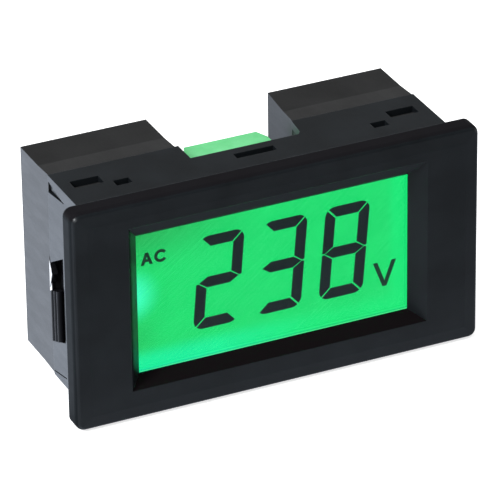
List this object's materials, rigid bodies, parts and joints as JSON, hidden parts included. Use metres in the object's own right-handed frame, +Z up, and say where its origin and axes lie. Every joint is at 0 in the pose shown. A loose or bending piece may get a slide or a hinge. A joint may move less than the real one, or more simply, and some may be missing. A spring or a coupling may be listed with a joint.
{
  "type": "digital panel meter",
  "caption": "Snap-in LCD panel voltmeter with a bevelled window, lit green display, sprung side clips and a rear recess with a screw terminal block.",
  "frame": {"origin": "middle of the bezel's back face, which seats on the front of the panel", "axes": "+X right along the panel, +Y through the panel to the back of the meter, +Z up"},
  "size_m": [0.079, 0.0323, 0.043],
  "materials": {
    "frame_black": "fine moulded texture",
    "case_black": "fine moulded texture",
    "clip_black": "satin",
    "polariser": "clear film",
    "display_glass": "clear",
    "seal_pale": "matt",
    "segment_dark": "matt",
    "mark_green": "matt",
    "lit_diffuser": "lit from the edge",
    "clear_acrylic": "clear",
    "white_film": "matt",
    "led_yellow": "gloss",
    "white_board": "satin",
    "holder_white": "satin",
    "elastomer_pink": "matt",
    "board_green": "solder mask",
    "screw_steel": "zinc plated",
    "chip_black": "matt",
    "trimmer_blue": "gloss",
    "rotor_cream": "satin",
    "film_yellow": "gloss",
    "sleeve_navy": "shrink sleeve",
    "resistor_blue": "lacquer",
    "capacitor_red": "gloss",
    "terminal_green": "satin",
    "contact_brass": "tinned brass",
    "cage_steel": "nickel plated"
  },
  "bodies": {
    "housing": {"front_frame": "frame_black", "rear_case": "case_black", "front_polariser": "polariser", "front_glass": "display_glass", "cell_seal": "seal_pale", "digit_segments": "segment_dark", "unit_marks": "mark_green", "rear_glass": "display_glass", "rear_polariser": "polariser", "diffuser_sheet": "lit_diffuser", "light_guide": "clear_acrylic", "reflector_sheet": "white_film", "backlight_led": "led_yellow", "led_board": "white_board", "display_holder": "holder_white", "upper_contact_strip": "elastomer_pink", "lower_contact_strip": "elastomer_pink", "main_board": "board_green", "board_screws": "screw_steel", "converter_chip": "chip_black", "trimmer_body": "trimmer_blue", "film_capacitor": "film_yellow", "electrolytic_capacitor": "sleeve_navy", "bridge_rectifier": "chip_black", "dropper_resistor": "resistor_blue", "divider_resistors": "resistor_blue", "regulator": "chip_black", "integrator_capacitors": "capacitor_red", "terminal_housing": "terminal_green", "left_contact": "contact_brass", "right_contact": "contact_brass"},
    "left_clip": {"left_clip": "clip_black"},
    "right_clip": {"right_clip": "clip_black"},
    "left_cage": {"left_cage": "cage_steel"},
    "right_cage": {"right_cage": "cage_steel"},
    "left_clamp_screw": {"left_clamp_screw": "screw_steel"},
    "right_clamp_screw": {"right_clamp_screw": "screw_steel"},
    "trimmer_rotor": {"trimmer_rotor": "rotor_cream"}
  },
  "joints": [
    {"name": "left_clip_press", "type": "hinge", "parent": "housing", "child": "left_clip", "pos_m": [-0.0336, 0.0145, 0], "axis": [0, 0, 1], "range_deg": [0, 8], "stiffness_Nm_per_rad": 0.1, "springref_deg": -5.73},
    {"name": "right_clip_press", "type": "hinge", "parent": "housing", "child": "right_clip", "pos_m": [0.0336, 0.0145, 0], "axis": [0, 0, -1], "range_deg": [0, 8], "stiffness_Nm_per_rad": 0.1, "springref_deg": -5.73},
    {"name": "left_screw_turn", "type": "hinge", "parent": "housing", "child": "left_clamp_screw", "pos_m": [-0.00281, 0.02, 0.01], "axis": [0, -1, 0], "range_deg": [0, 1800]},
    {"name": "left_cage_rise", "type": "slide", "parent": "housing", "child": "left_cage", "axis": [0, 1, 0], "range_m": [0, 0.0025]},
    {"name": "right_screw_turn", "type": "hinge", "parent": "housing", "child": "right_clamp_screw", "pos_m": [0.00481, 0.02, 0.01], "axis": [0, -1, 0], "range_deg": [0, 1800]},
    {"name": "right_cage_rise", "type": "slide", "parent": "housing", "child": "right_cage", "axis": [0, 1, 0], "range_m": [0, 0.0025]},
    {"name": "trimmer_turn", "type": "hinge", "parent": "housing", "child": "trimmer_rotor", "pos_m": [0.0245, 0.011, 0.0115], "axis": [0, 1, 0], "range_deg": [-135, 135]}
  ],
  "couplings": [
    {"joint": "left_screw_turn", "follows": "left_cage_rise", "rad_per_m": 12566},
    {"joint": "right_screw_turn", "follows": "right_cage_rise", "rad_per_m": 12566}
  ]
}
